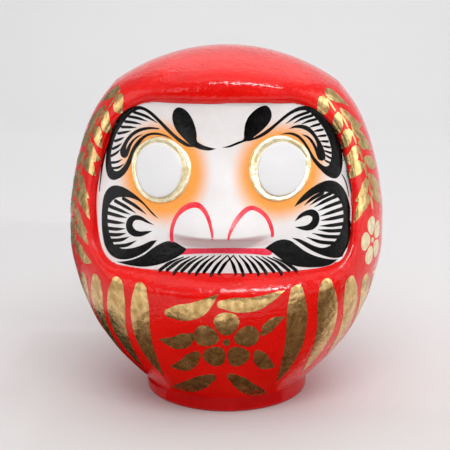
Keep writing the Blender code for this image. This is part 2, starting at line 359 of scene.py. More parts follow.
def lay_paint(name, surface, fills, material, top, bottom, spacing=1.5, holes=(), extra=()):
    """A thin closed layer of paint on the body, with rounded edges.

    It covers every fill outline except the holes, and reaches from bottom to top above the surface.
    extra are further places that the layer's mesh must have.
    """
    outlines = list(fills) + list(holes)
    starts = np.cumsum([0] + [len(outline) for outline in outlines])
    edges = [
        (start + k, start + (k + 1) % count)
        for start, count in zip(starts, map(len, outlines))
        for k in range(count)
    ]

    def covered(places):
        filled = np.any([is_inside(outline, places) for outline in fills], axis=0)
        for hole in holes:
            filled &= ~is_inside(hole, places)
        return filled

    flat, faces = triangles(np.concatenate(outlines), edges, covered)
    rim = rim_edges(faces)
    corners, rim = np.unique(rim, return_inverse=True)
    border, rim = flat[corners], rim.reshape(-1, 2)

    low, high = border.min(axis=0), border.max(axis=0)
    row_spacing, clearance = 0.87 * spacing, 0.45 * spacing
    rows = [
        [(x, row) for x in np.arange(low[0] + spacing * (k % 2) / 2, high[0], spacing)]
        for k, row in enumerate(np.arange(low[1] + spacing / 2, high[1], row_spacing))
    ]
    inner = np.array(sum(rows, []) + list(extra))
    inner = inner[covered(inner)]
    if len(inner):
        inner = inner[nearest(inner, border) > clearance]
    flat, faces = triangles(np.concatenate([border, inner]), rim.tolist(), covered)
    rim = rim_edges(faces)
    rim_height, reach, step = 0.8, 0.8, 0.2
    from_rim = nearest(flat, flat[np.unique(rim)])
    rise = (rim_height + (1 - rim_height) * ease(0, reach, from_rim))[:, None]
    along = surface(flat[:, 0] + step, flat[:, 1]) - surface(flat[:, 0] - step, flat[:, 1])
    up = surface(flat[:, 0], flat[:, 1] + step) - surface(flat[:, 0], flat[:, 1] - step)
    outward = np.cross(along, up)
    outward /= np.linalg.norm(outward, axis=1)[:, None]
    under = surface(*flat.T) + outward * bottom
    points = np.concatenate([under + outward * (top - bottom) * rise, under])
    count = len(flat)
    solid = (
        faces.tolist()
        + (faces[:, ::-1] + count).tolist()
        + [(b, a, a + count, b + count) for a, b in rim.tolist()]
    )
    return make_piece(name, points, solid, material, sharp=70)


# ---------------- materials


def start_material(name):
    material = bpy.data.materials.new(name)
    material.use_nodes = True
    return material


def connect(material, made, inputs):
    """Sets a node's inputs, given as (socket, value). A value may be another node's output."""
    for socket, value in inputs:
        if isinstance(value, bpy.types.NodeSocket):
            material.node_tree.links.new(value, made.inputs[socket])
        else:
            made.inputs[socket].default_value = value


def node(material, kind, inputs=(), **settings):
    made = material.node_tree.nodes.new("ShaderNode" + kind)
    for key, value in settings.items():
        setattr(made, key, value)
    connect(material, made, inputs)
    return made


def place_of(material, stretch=(1, 1, 1), turn=(0, 0, 0)):
    """The point on the object, in millimetres, stretched and turned."""
    where = node(material, "TexCoord").outputs["Object"]
    scale = [1 / MILLIMETRE / s for s in stretch]
    return node(
        material, "Mapping", [("Vector", where), ("Rotation", turn), ("Scale", scale)]
    ).outputs["Vector"]


def noise(material, size, detail=2.0, roughness=0.5, distortion=0.0, place=None):
    """Noise whose features are about size millimetres across."""
    place = place or place_of(material)
    return node(
        material, "TexNoise",
        [("Vector", place), ("Scale", 1 / size), ("Detail", detail), ("Roughness", roughness),
         ("Distortion", distortion)],
    ).outputs["Fac"]


def calculate(material, operation, *values):
    return node(material, "Math", list(enumerate(values)), operation=operation).outputs[0]


def ramp(material, value, *stops):
    """A value turned into another between two stops, each given as (place, value)."""
    made = node(material, "ValToRGB", [("Fac", value)])
    for element, (place, shade) in zip(made.color_ramp.elements, stops):
        element.position = place
        element.color = (shade, shade, shade, 1)
    return made.outputs["Color"]


def mix(material, factor, first, second):
    values = [("Factor", factor)]
    for socket, value in ((6, first), (7, second)):
        values.append((socket, (*value, 1) if isinstance(value, tuple) else value))
    return node(material, "Mix", values, data_type="RGBA").outputs[2]


def bump(material, *layers):
    """A normal with layers of relief, each given as (height, millimetres)."""
    values = []
    for height, depth in layers:
        values += [("Height", height), ("Distance", depth * MILLIMETRE)]
        values = [("Normal", node(material, "Bump", values).outputs["Normal"])]
    return values[0][1]


def finish_material(material, color, rough, normal=None, metallic=0.0, specular=0.5):
    values = [
        ("Base Color", color), ("Roughness", rough), ("Metallic", metallic), ("Specular IOR Level", specular)
    ]
    if normal:
        values.append(("Normal", normal))
    connect(material, material.node_tree.nodes["Principled BSDF"], values)
    return material


def red_lacquer():
    """Thick glossy red over paper pulp: soft lumps, brushed ripples and fine grain."""
    m = start_material("red_lacquer")
    tone = noise(m, 24, 3, 0.6)
    color = mix(m, ramp(m, tone, (0.3, 0.0), (0.7, 1.0)), (0.66, 0.0035, 0.0025), (0.78, 0.008, 0.005))
    streaks = noise(m, 1.0, 2, 0.5, 0.6, place_of(m, (9, 9, 2.2), (0.0, 0.25, 0.0)))
    lumps = noise(m, 7.5, 2, 0.5, 0.4)
    grain = noise(m, 2.4, 2, 0.5, 0.6)
    normal = bump(m, (lumps, 0.5), (streaks, 0.07), (grain, 0.36))
    rough = ramp(m, noise(m, 11, 3, 0.6), (0.3, 0.04), (0.7, 0.10))
    return finish_material(m, color, rough, normal, specular=0.32)


def foot_lacquer():
    """Satin red over pressed board, with a fine turned grain."""
    m = start_material("foot_lacquer")
    tone = noise(m, 16, 3, 0.6)
    color = mix(m, ramp(m, tone, (0.3, 0.0), (0.7, 1.0)), (0.50, 0.002, 0.003), (0.60, 0.004, 0.005))
    rings = noise(m, 1.0, 2, 0.5, 0.2, place_of(m, (18, 18, 0.9)))
    grain = noise(m, 0.9, 3, 0.6)
    normal = bump(m, (rings, 0.05), (grain, 0.03))
    return finish_material(m, color, ramp(m, tone, (0.3, 0.14), (0.7, 0.22)), normal, specular=0.35)


def soft_disc(m, place, centre, radii, fade):
    """1 inside an ellipse on the face, and 0 outside it, with a soft edge of so many millimetres."""
    middle = (-centre[0] / radii[0], 0, -centre[1] / radii[1])
    flat = node(
        m, "Mapping", [("Vector", place), ("Location", middle), ("Scale", (1 / radii[0], 0, 1 / radii[1]))]
    ).outputs["Vector"]
    distance = node(m, "VectorMath", [("Vector", flat)], operation="LENGTH").outputs["Value"]
    reach = fade / (radii[0] + radii[1])
    return node(
        m, "MapRange",
        [("Value", distance), ("From Min", 1 - reach), ("From Max", 1 + reach), ("To Min", 1), ("To Max", 0)],
        interpolation_type="SMOOTHSTEP",
    ).outputs["Result"]


def white_ground():
    """Shell-lime white with an orange airbrushed glow round the eyes, and a painted shadow under the nose."""
    m = start_material("white_ground")
    place = place_of(m)
    mottle = noise(m, 15, 3, 0.6)
    white = mix(m, ramp(m, mottle, (0.3, 0.0), (0.7, 1.0)), (0.72, 0.68, 0.67), (0.77, 0.745, 0.74))
    left = soft_disc(m, place, (-37.5, 166.5), (27.5, 29.0), 13)
    right = soft_disc(m, place, (37.5, 168.0), (27.0, 27.5), 13)
    glow = calculate(m, "MAXIMUM", left, right)
    for centre, radii in (((-17.2, 131.5), (12.9, 16.4)), ((19.6, 131.2), (13.2, 15.2))):
        clear = calculate(m, "SUBTRACT", 1.0, soft_disc(m, place, centre, radii, 1.2))
        glow = calculate(m, "MULTIPLY", glow, clear)
    speckle = ramp(m, noise(m, 0.5, 2, 0.7), (0.25, 0.86), (0.75, 1.0))
    glow = calculate(m, "MULTIPLY", glow, speckle)
    color = mix(m, glow, white, (0.90, 0.31, 0.022))
    # painted shadow: a greyish pink band on the upper lip where the nose's shade falls
    nose_shadow = soft_disc(m, place, (0, 125.5), (33, 3.2), 3.5)
    color = mix(m, calculate(m, "MULTIPLY", nose_shadow, 0.45), color, (0.62, 0.36, 0.36))
    normal = bump(m, (noise(m, 6, 3, 0.55), 0.16), (noise(m, 0.8, 2, 0.6), 0.012))
    return finish_material(m, color, 0.5, normal, specular=0.08)


def gold_paint():
    """Metallic gold with the creases and flakes of a thickly brushed film."""
    m = start_material("gold_paint")
    strokes = noise(m, 1.0, 1, 0.5, 0.6, place_of(m, (4, 4, 16)))
    patches = ramp(m, noise(m, 7, 2, 0.5, 0.5), (0.32, 0.0), (0.68, 1.0))
    patches = calculate(m, "MULTIPLY_ADD", patches, 0.6, ramp(m, strokes, (0.35, 0.0), (0.65, 0.4)))
    color = mix(m, patches, (0.44, 0.25, 0.08), (0.98, 0.70, 0.31))
    normal = bump(m, (noise(m, 4.2, 1, 0.4, 0.2), 0.40))
    rough = ramp(m, noise(m, 3, 2, 0.5), (0.3, 0.22), (0.7, 0.36))
    return finish_material(m, color, rough, normal, metallic=0.94)


def black_paint():
    """Glossy brushed black, a little thin in places so that the white glows through."""
    m = start_material("black_paint")
    thin = ramp(m, noise(m, 7, 4, 0.6, 0.6), (0.45, 0.0), (0.8, 1.0))
    color = mix(m, thin, (0.002, 0.0018, 0.0018), (0.010, 0.008, 0.008))
    streaks = noise(m, 1.0, 3, 0.6, 0.8, place_of(m, (1.2, 1.2, 5), (0.0, 0.7, 0.0)))
    normal = bump(m, (streaks, 0.09), (noise(m, 5, 3, 0.55), 0.22))
    return finish_material(m, color, 0.2, normal, specular=0.2)


def simple_material(name, tone, first, second, relief, rough, reach=None, **shine):
    """A material in two shades. The tone and each layer of relief follow a noise, given by its values."""
    m = start_material(name)
    shade = noise(m, *tone)
    if reach:
        shade = ramp(m, shade, (reach[0], 0.0), (reach[1], 1.0))
    layers = [(noise(m, *values), depth) for values, depth in relief]
    return finish_material(m, mix(m, shade, first, second), rough, bump(m, *layers), **shine)


def raw_material(name, dark, light, size, relief, rough):
    """An unpainted fibrous or earthy stuff."""
    return simple_material(name, (size, 5, 0.7), dark, light, [((size / 3, 4, 0.65), relief)], rough)


RED = red_lacquer()
FOOT_RED = foot_lacquer()
WHITE = white_ground()
GOLD = gold_paint()
BLACK = black_paint()
# the smoother white of the blank eyes, and the lighter leaf-like gold of their rims
EYE_WHITE = simple_material(
    "eye_white", (12, 3, 0.6), (0.69, 0.68, 0.68), (0.74, 0.73, 0.73),
    [((5, 3, 0.5), 0.12)], 0.4, specular=0.12,
)
PALE_GOLD = simple_material(
    "pale_gold", (6, 4, 0.65, 0.8), (0.72, 0.56, 0.28), (1.0, 0.93, 0.68),
    [((2.8, 3, 0.6, 0.5), 0.42), ((0.6, 2, 0.6), 0.02)], 0.3, reach=(0.32, 0.68), metallic=0.75,
)
# thin crimson lines that pool to a deeper red, and the crimson of the mouth
PINK = simple_material(
    "pink_paint", (6, 3, 0.6, 0.5), (0.84, 0.055, 0.08), (0.74, 0.012, 0.035),
    [((2.0, 3, 0.6), 0.05)], 0.36, reach=(0.38, 0.62), specular=0.3,
)
LIP = simple_material(
    "lip_paint", (5, 3, 0.6, 0.5), (0.88, 0.04, 0.09), (0.80, 0.012, 0.05),
    [((2.0, 3, 0.6), 0.06)], 0.33, reach=(0.4, 0.62),
)
CLAY = raw_material("dried_clay", (0.25, 0.18, 0.12), (0.38, 0.29, 0.21), 4, 0.4, 0.92)
BOARD = raw_material("paperboard", (0.38, 0.30, 0.21), (0.52, 0.43, 0.32), 2.5, 0.12, 0.85)
PAPER = raw_material("plain_paper", (0.70, 0.66, 0.58), (0.82, 0.79, 0.72), 3, 0.1, 0.8)

# ---------------- the two shells

FRONT_ROWS = [
    (SHELL_BOTTOM, 16), (37, 28), (90, 40), (107, 22), (125, 22), (135, 60), (206, 12), (216, 24), (231, 0),
]
FRONT_TURNS = [(0, 62), (48, 44), (60, 32), (90, 0)]
REAR_ROWS = [(SHELL_BOTTOM, 12), (37, 28), (110, 48), (226, 0)]
REAR_TURNS = [(0, 60), (90, 0)]
DOME_ROWS = 14
LINING_STEP = 2
GROUND_RECESS = 0.35


def spaced(plan):
    """Even steps between the places of a plan, without its last place."""
    return np.concatenate([
        np.linspace(low, high, steps, endpoint=False) for (low, steps), (high, _) in zip(plan, plan[1:])
    ])


def shell_surface(depth, towards, rows, turns, inset):
    """Grid of points on one face of a half shell, from the rim of its bottom hole to the crown."""
    tilt = math.acos((rows[-1][0] - DOME_CENTRE) / DOME_RADIUS)
    dome = DOME_CENTRE + DOME_RADIUS * np.cos(np.linspace(tilt, 0, DOME_ROWS + 1))
    bottom, top = SHELL_BOTTOM + inset, HEIGHT - inset
    share = (np.concatenate([spaced(rows), dome]) - SHELL_BOTTOM) / (HEIGHT - SHELL_BOTTOM)
    one_side = np.append(spaced(turns), turns[-1][0])
    angle = np.radians(np.concatenate([-one_side[:0:-1], one_side]))
    z, turn = np.meshgrid(bottom + share * (top - bottom), angle, indexing="ij")
    x = half_width(z, inset) * np.sin(turn)
    y = depth(x, z, inset)
    y[:, [0, -1]] = 0.0
    points = np.stack([x, towards * (y + GAP / 2), z], axis=-1)
    rim = [
        (SHELL_BORE * math.sin(a), towards * (SHELL_BORE * math.cos(a) + GAP / 2), bottom) for a in angle
    ]
    return np.concatenate([[rim], points])


def recessed_front(x, z, inset):
    """The front under its paint: a little lower where the white ground covers it."""
    ground = GROUND_RECESS * ease(2.0, 4.0, window(x, z, **FOOT_LINE)) if inset == 0.0 else 0.0
    return front_depth(x, z, inset) - ground


def make_slab(name, outer, inner, material):
    """A solid between two grids of points, closed along the bottom and both sides.

    The top row of each grid is a single point.
    """

    def borders(rows, columns, start):
        yield [start + c for c in range(columns)]
        yield [start + r * columns for r in range(rows)]
        yield [start + (r + 1) * columns - 1 for r in range(rows)]

    outer_size = (*outer.shape[:2], 0)
    inner_size = (*inner.shape[:2], outer.shape[0] * outer.shape[1])
    faces = grid_faces(*outer_size) + grid_faces(*inner_size)
    for outer_border, inner_border in zip(borders(*outer_size), borders(*inner_size)):
        step = (len(outer_border) - 1) // (len(inner_border) - 1)
        for k in range(len(inner_border) - 1):
            near = outer_border[k * step : (k + 1) * step + 1]
            faces.append((*near, inner_border[k + 1], inner_border[k]))
    points = np.concatenate([outer.reshape(-1, 3), inner.reshape(-1, 3)])
    return make_solid(name, points, faces, material)


def make_shells():
    halves = [
        ("front_body", "front_shell", recessed_front, -1, FRONT_ROWS, FRONT_TURNS),
        ("back_body", "back_shell", rear_depth, 1, REAR_ROWS, REAR_TURNS),
    ]
    for name, node_name, depth, towards, rows, turns in halves:
        outer = shell_surface(depth, towards, rows, turns, 0.0)
        lining = shell_surface(depth, towards, rows, turns, WALL)[::LINING_STEP, ::LINING_STEP]
        piece = make_slab(name, outer, lining, RED)
        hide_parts(node_name)


def make_turned(name, profile, segments, material):
    """A solid turned about the Z axis from a closed profile of (radius, height) points."""
    angles = 2 * np.pi * np.arange(segments) / segments
    radius, height = np.array(profile, float).T
    points = np.stack([
        np.outer(np.cos(angles), radius), np.outer(np.sin(angles), radius), np.tile(height, (segments, 1)),
    ], axis=-1).reshape(-1, 3)
    faces = grid_faces(segments, len(profile), round_rows=True, round_columns=True)
    return make_solid(name, points, faces, material)


def make_foot():
    """The ring foot, with a softly rounded lower edge and a slightly full side."""
    edge = [
        (FOOT_RADIUS - FOOT_EDGE + FOOT_EDGE * math.sin(a), FOOT_EDGE - FOOT_EDGE * math.cos(a))
        for a in np.linspace(0, math.pi / 2, 7)
    ]
    side = [
        (FOOT_RADIUS + FOOT_FULLNESS * math.sin(math.pi * t), FOOT_EDGE + (FOOT_HEIGHT - FOOT_EDGE) * t)
        for t in (0.25, 0.5, 0.75, 1)
    ]
    profile = [(FOOT_BORE + 1, 0)] + edge + side + [(FOOT_BORE, FOOT_HEIGHT), (FOOT_BORE, 1)]
    piece = make_turned("ring_foot", profile, 192, FOOT_RED)
    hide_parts("foot_ring")


# ---------------- the face

EYES = [
    # centre of the white, its radii, centre of the gold rim, its radii
    ("left", (-40.4, 167.6), (15.5, 16.6), (-39.2, 167.8), (20.0, 20.1)),
    ("right", (38.2, 169.3), (15.6, 16.3), (37.1, 169.7), (20.0, 19.9)),
]
RIM_PROFILE = [
    # share of the way from the white to the outer edge, lift
    (-0.08, -0.1), (-0.06, 0.9), (0.0, 0.9), (0.10, 0.95), (0.2, 1.1), (0.32, 1.3), (0.45, 1.42),
    (0.6, 1.45), (0.74, 1.38), (0.85, 1.15), (0.93, 0.8), (0.98, 0.4), (1.0, 0.2), (1.0, -0.1),
]
BOSS_LIFT = 0.9
BOSS_CROWN = 1.9
BOSS_FLAT = 0.9
BOSS_FOOT = -0.2
GROUND_TOP, GROUND_BOTTOM = 0.12, -0.25
STROKE_TOP, STROKE_BOTTOM = 0.30, 0.0


def white_outline():
    return shape([
        (-80.6, 162), (-82.2, 152), (-82.6, 142), (-81.6, 132), (-80.2, 123), (-78, 115.5), (-74.5, 110.3),
        (-69.5, 107.4), (-62, 106.7), (-35, 106.7), (0, 107), (30, 107), (56, 107), (66, 107.3),
        (73, 108.6), (78, 111.5), (81, 116), (82.8, 122.5), (83.5, 131), (83.6, 141), (83, 151), (81, 161),
        (78.8, 172), (75.6, 181.5), (71.2, 190.5), (65.5, 198.2), (59, 204), (52, 207.6), (45, 209.4),
        (36, 210), (12, 210.2), (-8, 210), (-28, 209.5), (-42, 209.7), (-50, 208.6), (-57, 205.5),
        (-63.5, 200.5), (-69.5, 193), (-74.5, 183.5), (-78, 173),
    ])


def eye_ring(centre, radii, size, angle):
    """A closed wavy outline round an eye, size times its radii."""
    wave = 1 + 0.012 * np.sin(3 * angle + 1) + 0.008 * np.sin(5 * angle)
    across = centre[0] + radii[0] * size * wave * np.cos(angle)
    height = centre[1] + radii[1] * size * wave * np.sin(angle)
    return np.stack([across, height], axis=-1)


def make_round(name, rings, closed, material):
    """A solid from nested rings of (outline on the face, lift). If closed, the last joins the first."""
    points = np.concatenate([on_face(*outline.T) - (0, lift, 0) for outline, lift in rings])
    faces = grid_faces(len(rings), len(rings[0][0]), round_rows=closed, round_columns=True)
    return make_solid(name, points, faces, material)


def make_eyes():
    """Each eye: a domed white boss, and a gold rim with a shallow groove round the boss."""
    angle = np.linspace(0, 2 * np.pi, 120, endpoint=False)
    for side, centre, radii, rim_centre, rim_radii in EYES:
        boss = []
        for size in np.concatenate([np.linspace(0, 0.86, 12), np.linspace(BOSS_FLAT, 1.0, 8)]):
            crown = BOSS_CROWN * (1 - size**2)
            shoulder = math.sqrt(max(0.0, 1 - max(0.0, (size - BOSS_FLAT) / (1 - BOSS_FLAT)) ** 2))
            boss.append((eye_ring(centre, radii, size, angle), BOSS_LIFT + crown + BOSS_CROWN * shoulder))
        boss += [(eye_ring(centre, radii, size, angle), BOSS_FOOT) for size in (1.0, 0.0)]
        make_round(f"eye_{side}", boss, False, EYE_WHITE)

        inner, outer = eye_ring(centre, radii, 1.0, angle), eye_ring(rim_centre, rim_radii, 1.0, angle)
        rim = [(inner + (outer - inner) * share, lift) for share, lift in RIM_PROFILE]
        make_round(f"eye_rim_{side}", rim, True, PALE_GOLD)


def make_ground():
    """The white ground, with closer points where the nose turns under."""
    angle = np.linspace(0, 2 * np.pi, 90, endpoint=False)
    under_rim = 0.93
    holes = [eye_ring(centre, radii, under_rim, angle) for _, _, _, centre, radii in EYES]
    extra = [(x, z) for z in np.arange(125.6, 133, 0.5) for x in np.arange(-37, 37.1, 0.9)]
    lay_paint(
        "white_face", on_face, [white_outline()], WHITE, GROUND_TOP, GROUND_BOTTOM,
        spacing=1.15, holes=holes, extra=extra,
    )


def bent(root, tip, bend):
    """A line from root to tip, bent to one side by a share of its length."""
    root, tip = np.array(root, float), np.array(tip, float)
    across = np.array([root[1] - tip[1], tip[0] - root[0]])
    return [root, (root + tip) / 2 + bend * across, tip]


def teeth(roots, tips, width, bend):
    """Pointed strokes from roots to tips. width and bend are (first value, change to the next)."""
    strokes = []
    for k, (root, tip) in enumerate(zip(roots, tips)):
        broad = width[0] + width[1] * k
        strokes.append(brush(bent(root, tip, bend[0] + bend[1] * k), [broad, 0.92 * broad, 0.25]))
    return strokes


def left_brow():
    band = shape([
        (-19.5, 183.4), (-25, 186.3), (-30, 189.6), (-35, 194), (-40, 198.5), (-45, 202.7), (-50, 205.4),
        (-54.5, 206.2), (-59, 205.2), (-64, 202.2), (-68.5, 197.3), (-72, 191), (-74.7, 183.5),
        (-76.3, 176), (-76.9, 169.5), (-76.3, 163.5), (-74.5, 159.6), (-71.5, 158.3), (-67.5, 159.5),
        (-63.5, 162.6), (-60.3, 167.5), (-57.7, 173.7), (-55.2, 179.3), (-52.3, 183.7), (-48.8, 187),
        (-44.5, 188.5), (-39.5, 188.5), (-35, 187.7),
    ], [
        (-31.3, 186.7), (-35.5, 188.7), (-40, 189.9), (-44.5, 190), (-49, 188.7), (-53, 186), (-56.7, 182),
        (-59.3, 177.5), (-60.8, 173.5), (-62.8, 169.5), (-65.5, 166), (-68.3, 164.1), (-71, 164.4),
        (-72.7, 167.5), (-73.3, 172), (-72.7, 177.5), (-71.2, 183), (-69, 188), (-66.3, 192.5),
        (-63.3, 196.7), (-60.5, 199.9), (-57.3, 202.4), (-53.5, 203.9), (-49.5, 203), (-45.3, 200.3),
        (-41, 196.7), (-36, 191.9), (-31, 187.7), (-26.5, 184.5), (-22, 182.5),
    ], [(-17.5, 182.3)])
    inner = shape([
        (-40.5, 193), (-46, 193.4), (-51, 192.7), (-55, 191.3), (-59, 188.7), (-62.3, 185.2), (-65, 181),
        (-66.8, 176.8), (-66.3, 173.9), (-64.2, 172.6), (-62, 173.4), (-60.7, 176), (-59.6, 179.5),
        (-57.5, 183.4), (-54.5, 186.3),
    ], [
        (-51, 188.4), (-54.6, 187.3), (-58, 184.8), (-60.6, 181.8), (-62, 179.2),
    ], [
        (-62.9, 177.4), (-62.2, 181), (-60, 184.6), (-57, 187.6), (-53, 190), (-48, 191.6), (-43.5, 192.2),
    ], [(-40.5, 192.2)])
    roots = [
        (-57.5, 202), (-60.9, 198.9), (-63.4, 195.4), (-65.9, 191.7), (-68.3, 187.3), (-70.5, 182.3),
        (-72, 177.3), (-72.9, 172.8), (-73.1, 168.6), (-72, 165.3),
    ]
    tips = [
        (-41.7, 196.3), (-48.3, 196.8), (-52.3, 194.7), (-55.8, 192.3), (-59.6, 189.9), (-64.2, 185.4),
        (-65.8, 181.4), (-66.4, 177.9), (-65.2, 171.6), (-63.9, 168.9),
    ]
    return [band, inner] + teeth(roots, tips, (1.95, -0.05), (0.05, -0.015))


def right_brow():
    band = shape([
        (20.5, 188.6), (25, 191), (30, 194.3), (35, 198.2), (39.5, 201.9), (44, 204.8), (48.5, 206.8),
        (53, 207.2), (57.5, 205.9), (62, 202.7), (66, 198.6), (70, 193.5), (73.5, 187.5), (76, 181),
        (77.3, 174), (77.3, 168), (76, 163), (73.5, 160.7), (70.5, 161.1), (67, 163.1), (63.5, 166.3),
        (60, 170.2), (57.3, 174), (54.5, 179.5), (51.5, 184), (48, 187.5), (44, 189.4), (40, 190),
    ], [
        (36.3, 189.7), (40.5, 190.9), (44.5, 190.8), (48.5, 189.2), (51.5, 186.5), (54.5, 182.3),
        (57.3, 177.5), (60.2, 173.3), (63, 170.6), (66, 168.6), (68.3, 169), (69.7, 172), (70.1, 176),
        (69.4, 181), (67.7, 186), (65.3, 191), (62.3, 195.6), (59, 199.7), (56, 202.6), (52.5, 204.4),
        (48.5, 204.2), (44, 202.5), (39.5, 199.4), (35, 195.8), (30, 191.6), (25, 188.7), (20, 187),
    ], [(14.5, 186.2)])
    inner = shape([
        (42.3, 193.2), (45.5, 194.9), (49.5, 195.5), (53.3, 194.7), (56.5, 192.6), (59.3, 189.3),
        (62, 185.2), (64.3, 180.8), (65.9, 176.5), (66, 173.3), (64.3, 172.2), (62.1, 172.9), (60.5, 175.4),
        (59.2, 179), (57.4, 182.8), (54.6, 186.5),
    ], [(50.7, 189.3), (54.2, 188.4), (57.3, 185.8), (59.4, 182.7)], [
        (60.8, 180.2), (60.3, 183.2), (58.5, 186.8), (55.5, 190.2), (51.5, 192.6), (47, 193.6),
    ])
    roots = [
        (54.8, 203.2), (57.3, 200.9), (59.7, 198.3), (61.9, 195), (64, 191.3), (66, 187.5), (67.6, 183.6),
        (68.9, 179.8), (69.7, 176.3), (69.6, 173.2), (68.8, 170.6),
    ]
    tips = [
        (40.4, 196.5), (45.4, 196.6), (50.4, 195.8), (55.3, 193.4), (58, 190.6), (60.3, 187.4),
        (62.2, 184.4), (63.8, 181.4), (65, 178.5), (65.7, 175.9), (65.3, 172.9),
    ]
    return [band, inner] + teeth(roots, tips, (1.9, -0.07), (-0.06, 0.01))


def left_cheek():
    mass = shape([
        (-39.5, 138.2), (-45, 143), (-51.5, 148.5), (-58, 152.5), (-65, 155.1), (-70, 155.1), (-74, 153),
        (-77, 148.5), (-78.3, 141), (-78.4, 132), (-77.6, 124), (-75.7, 117), (-72, 112.3), (-67, 110.4),
        (-60, 111.1), (-53, 114), (-47, 118), (-42.5, 122.3),
    ], [
        (-40.3, 125.3), (-44.5, 124.2), (-51, 120.8), (-58, 118.2), (-64.5, 117.2), (-69.3, 119),
        (-71.8, 123), (-73.6, 128.5), (-74.3, 135), (-73.9, 140.5), (-72, 144.8), (-68.5, 147.7),
        (-62.5, 149), (-57.5, 148.8), (-53.5, 147.8), (-49.5, 145.6), (-44, 140.8),
    ])
    roots = [
        (-63.5, 147.9), (-69, 145.8), (-72.7, 142), (-74.3, 137.8), (-74.6, 132.9), (-74.3, 128.4),
        (-73, 124.6), (-71, 121.2), (-68, 118.1),
    ]
    tips = [
        (-47.8, 140.3), (-54.8, 140.3), (-58.5, 139), (-60.8, 136.7), (-62.2, 133.3), (-61.9, 129.9),
        (-61.2, 127.2), (-59, 125.2), (-54.2, 123.4),
    ]
    curl = shape([
        (-42.4, 134.2), (-46.5, 136.3), (-51, 138.6), (-55.8, 138.9), (-59.7, 136.6), (-61.3, 132.5),
        (-60.2, 128.4), (-56.5, 126.1), (-51.7, 126.3), (-47.3, 128.2),
    ], [
        (-43.4, 130.6), (-47.5, 130.1), (-52, 129.5), (-55.3, 130.4), (-56.8, 133), (-55.3, 135.7),
        (-51.5, 136.3), (-47.5, 135.2),
    ])
    return [mass, curl] + teeth(roots, tips, (2.3, 0), (0.03, -0.012))


def right_cheek():
    mass = shape([
        (46.4, 145.8), (49, 149.4), (53, 153.3), (58, 156.7), (63, 159), (68, 159.9), (73, 158.7),
        (77, 155.4), (80, 150.5), (82.2, 144), (83.4, 136), (83.4, 128), (82.3, 121), (80, 115.3),
        (76.7, 111.9), (72.5, 112), (66, 114.2), (59, 117.8), (53, 121.9), (48.8, 125),
    ], [
        (45.2, 127.4), (50, 126.3), (55, 123.7), (60, 120.9), (65, 119.3), (69.6, 120), (73, 122.4),
        (75.8, 126), (77.5, 130.5), (78.3, 135.5), (78, 140.8), (76.7, 145.5), (74, 149.4), (70.3, 151.9),
        (66, 153.3), (60.5, 152.7), (55, 150),
    ])
    roots = [
        (64.5, 152.7), (69.8, 152), (73.5, 149.8), (76.3, 146), (77.8, 141.8), (78.5, 137.2), (78.3, 132.5),
        (77.3, 128.5), (75.5, 124.7), (72, 121.3),
    ]
    tips = [
        (52.9, 146.4), (56.4, 146.1), (59.2, 144.7), (61.7, 142.3), (63.2, 138.9), (63.6, 136.2),
        (63.2, 133), (61.9, 130.9), (58.3, 129.1), (54.6, 127),
    ]
    curl = shape([
        (46.9, 137.2), (49.8, 140.9), (53.7, 143), (58, 143.5), (61.4, 141.5), (62.7, 138), (62, 134.4),
        (59.3, 131.7), (55.3, 131), (51, 132),
    ], [
        (47, 133.9), (51.5, 133.9), (55.2, 134.6), (57.7, 136.6), (58, 138.8), (56, 140), (52.8, 139.8),
        (49.8, 138.6),
    ])
    return [mass, curl] + teeth(roots, tips, (2.3, 0), (-0.05, 0.011))


def brow_ovals():
    left = shape([
        (-3.4, 181.7), (-8, 180.6), (-13, 181), (-17.5, 182.4), (-21, 184.4), (-25, 187.9), (-28.8, 191.9),
        (-31, 196), (-31.9, 200.5), (-30.9, 204.6), (-28.2, 206.8), (-24.2, 205.9), (-20.4, 202.2),
        (-17.6, 196.6), (-16.1, 190.6), (-16, 186.7),
    ], [(-15.4, 185.5), (-12, 183.8), (-8, 182.6)])
    right = shape([
        (0.3, 182.4), (5, 183.9), (10, 185.9), (13.7, 187.5), (14.1, 192), (14.8, 197), (17, 201.8),
        (20.5, 205.4), (24.5, 207.9), (28, 208.4), (30.5, 206), (31.4, 202), (30.2, 198.1), (27, 194.3),
        (23.2, 191), (19.8, 188.4), (19, 186.9), (14.5, 186), (9.5, 184.2), (5, 182.7),
    ])
    return [left, right]


def moustache():
    """A stroke on each side under the nose, and the short hairs between the mouth and the ledge."""
    left = shape([
        (-67.5, 108.4), (-61.5, 109.7), (-55, 112), (-48.5, 115.6), (-43, 120), (-38, 123.3),
        (-33.5, 125.1), (-29, 125), (-24.6, 123),
    ], [
        (-20.4, 120.9), (-23.6, 118.2), (-28.5, 115), (-34.5, 112), (-41, 109.6), (-48, 108), (-56, 107.5),
        (-62, 107.8),
    ])
    right = shape([
        (28.3, 121.8), (31.5, 124), (35.5, 126.1), (40, 126.8), (44.5, 125.6), (49, 122.2), (54, 118.3),
        (60, 115), (66, 112.7), (71, 111.3),
    ], [
        (75, 110.9), (71, 108.5), (66.5, 107.6), (60, 107.8), (54, 108.5), (48, 109.8), (43, 111.9),
        (38, 115.2), (33, 119.1),
    ])
    strokes = [left, right]
    for tops, bottoms, lean in (((-23, 8.6), (-38.3, -0.4), -0.05), ((33.6, 5.2), (48.6, 10.3), 0.05)):
        for k in range(9):
            share = k / 8
            top = (tops[0] + (tops[1] - tops[0]) * share, 117.9 - 1.8 * (1 - share) ** 2)
            bottom = (bottoms[0] + (bottoms[1] - bottoms[0]) * share, 106.9 + 0.5 * math.sin(2.4 * k))
            strokes.append(brush(bent(top, bottom, lean), [0.6, 1.2, 2.1, 1.9]))
    return strokes


